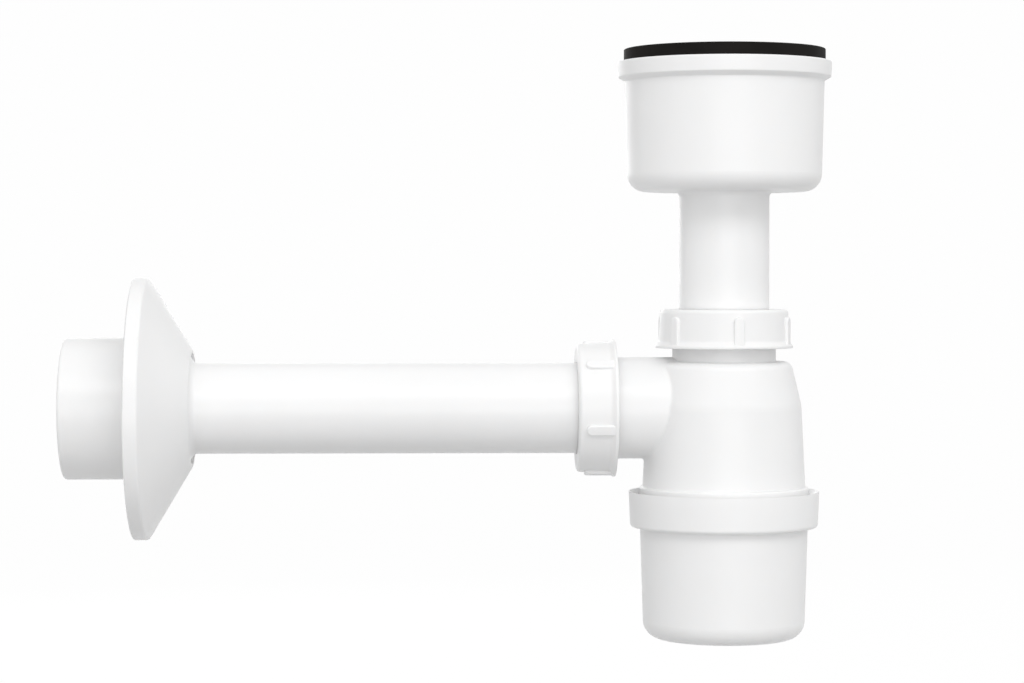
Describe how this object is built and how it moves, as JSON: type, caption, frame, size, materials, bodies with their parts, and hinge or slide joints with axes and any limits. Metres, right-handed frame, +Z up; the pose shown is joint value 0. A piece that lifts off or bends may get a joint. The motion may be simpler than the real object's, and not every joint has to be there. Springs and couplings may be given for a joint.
{
  "type": "urinal bottle trap",
  "caption": "White plastic bottle trap with a flanged inlet cup and black gasket on top, ribbed union nuts, and a side outlet pipe with a conical wall cover and a wide spigot.",
  "frame": {"origin": "where the outlet pipe's axis meets the face of the wall", "axes": "+X along the outlet pipe away from the wall, +Z up along the inlet"},
  "size_m": [0.2713, 0.0928, 0.2091],
  "materials": {
    "white_plastic": "satin",
    "black_rubber": "matte"
  },
  "bodies": {
    "outlet_pipe": {"outlet_pipe": "white_plastic"},
    "rosette": {"wall_rosette": "white_plastic"},
    "trap": {"trap_body": "white_plastic"},
    "outlet_seal": {"outlet_cone_seal": "black_rubber"},
    "outlet_nut": {"outlet_nut": "white_plastic"},
    "bottle_seal": {"bottle_seal": "black_rubber"},
    "bottle": {"bottle_cup": "white_plastic"},
    "inlet_seal": {"inlet_cone_seal": "black_rubber"},
    "inlet_nut": {"inlet_nut": "white_plastic"},
    "inlet": {"inlet_cup": "white_plastic", "inlet_gasket": "black_rubber"}
  },
  "joints": [
    {"name": "rosette_slide", "type": "slide", "parent": "outlet_pipe", "child": "rosette", "axis": [1, 0, 0], "range_m": [0, 0.12]},
    {"name": "trap_slide", "type": "slide", "parent": "outlet_pipe", "child": "trap", "axis": [1, 0, 0], "range_m": [-0.0025, 0.012]},
    {"name": "inlet_slide", "type": "slide", "parent": "trap", "child": "inlet", "axis": [0, 0, 1], "range_m": [-0.033, 0.018]},
    {"name": "inlet_nut_seal_slide", "type": "slide", "parent": "trap", "child": "inlet_seal", "axis": [0, 0, 1], "range_m": [0, 0.006]},
    {"name": "inlet_nut_turn", "type": "hinge", "parent": "inlet_seal", "child": "inlet_nut", "pos_m": [0.2086, 0, 0.0213], "axis": [0, 0, 1], "range_deg": [0, 720]},
    {"name": "outlet_nut_seal_slide", "type": "slide", "parent": "trap", "child": "outlet_seal", "axis": [-1, 0, 0], "range_m": [0, 0.006]},
    {"name": "outlet_nut_turn", "type": "hinge", "parent": "outlet_seal", "child": "outlet_nut", "pos_m": [0.1698, 0, 0], "axis": [-1, 0, 0], "range_deg": [0, 720]},
    {"name": "bottle_seal_slide", "type": "slide", "parent": "trap", "child": "bottle_seal", "axis": [0, 0, -1], "range_m": [0, 0.006]},
    {"name": "bottle_turn", "type": "hinge", "parent": "bottle_seal", "child": "bottle", "pos_m": [0.2086, 0, -0.0297], "axis": [0, 0, -1], "range_deg": [0, 720]}
  ],
  "couplings": [
    {"joint": "inlet_nut_seal_slide", "follows": "inlet_nut_turn", "m_per_rad": 0.00047745},
    {"joint": "outlet_nut_seal_slide", "follows": "outlet_nut_turn", "m_per_rad": 0.00047745},
    {"joint": "bottle_seal_slide", "follows": "bottle_turn", "m_per_rad": 0.00047745}
  ]
}
